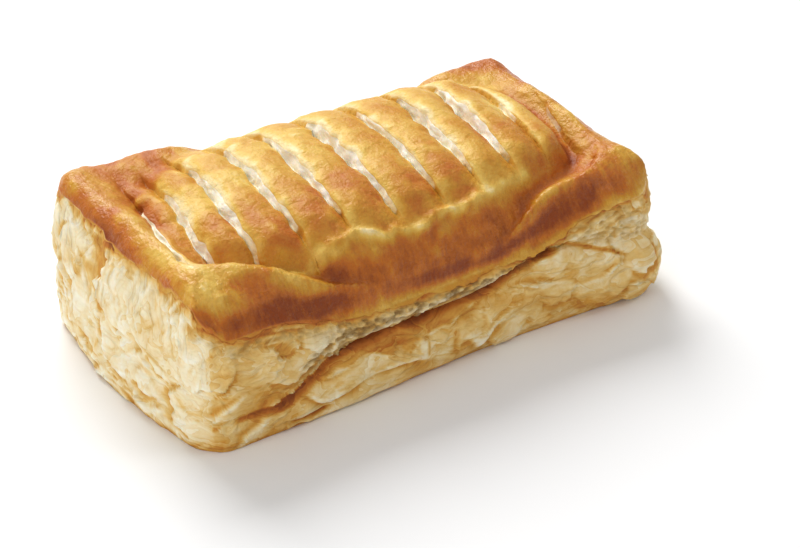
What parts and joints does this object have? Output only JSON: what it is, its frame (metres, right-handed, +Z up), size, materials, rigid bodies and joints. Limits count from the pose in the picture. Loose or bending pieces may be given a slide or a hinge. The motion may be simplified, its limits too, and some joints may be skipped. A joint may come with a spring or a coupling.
{
  "type": "pastry roll",
  "caption": "Baked puff pastry roll: a slit, egg-washed top sheet sealed over a filling to a lower sheet, with a raised browned rim, pale flaky cut sides and a flat underside.",
  "frame": {"origin": "centre of the bounding box on the surface the roll rests on", "axes": "+Z up, +X along the roll towards the end whose lower sheet flares out, +Y across it towards the back"},
  "size_m": [0.1548, 0.09, 0.0519],
  "materials": {
    "baked_pastry": "egg-washed golden brown crust with cream coloured flaky sides"
  },
  "bodies": {
    "root": {"pastry": "baked_pastry"}
  },
  "joints": []
}
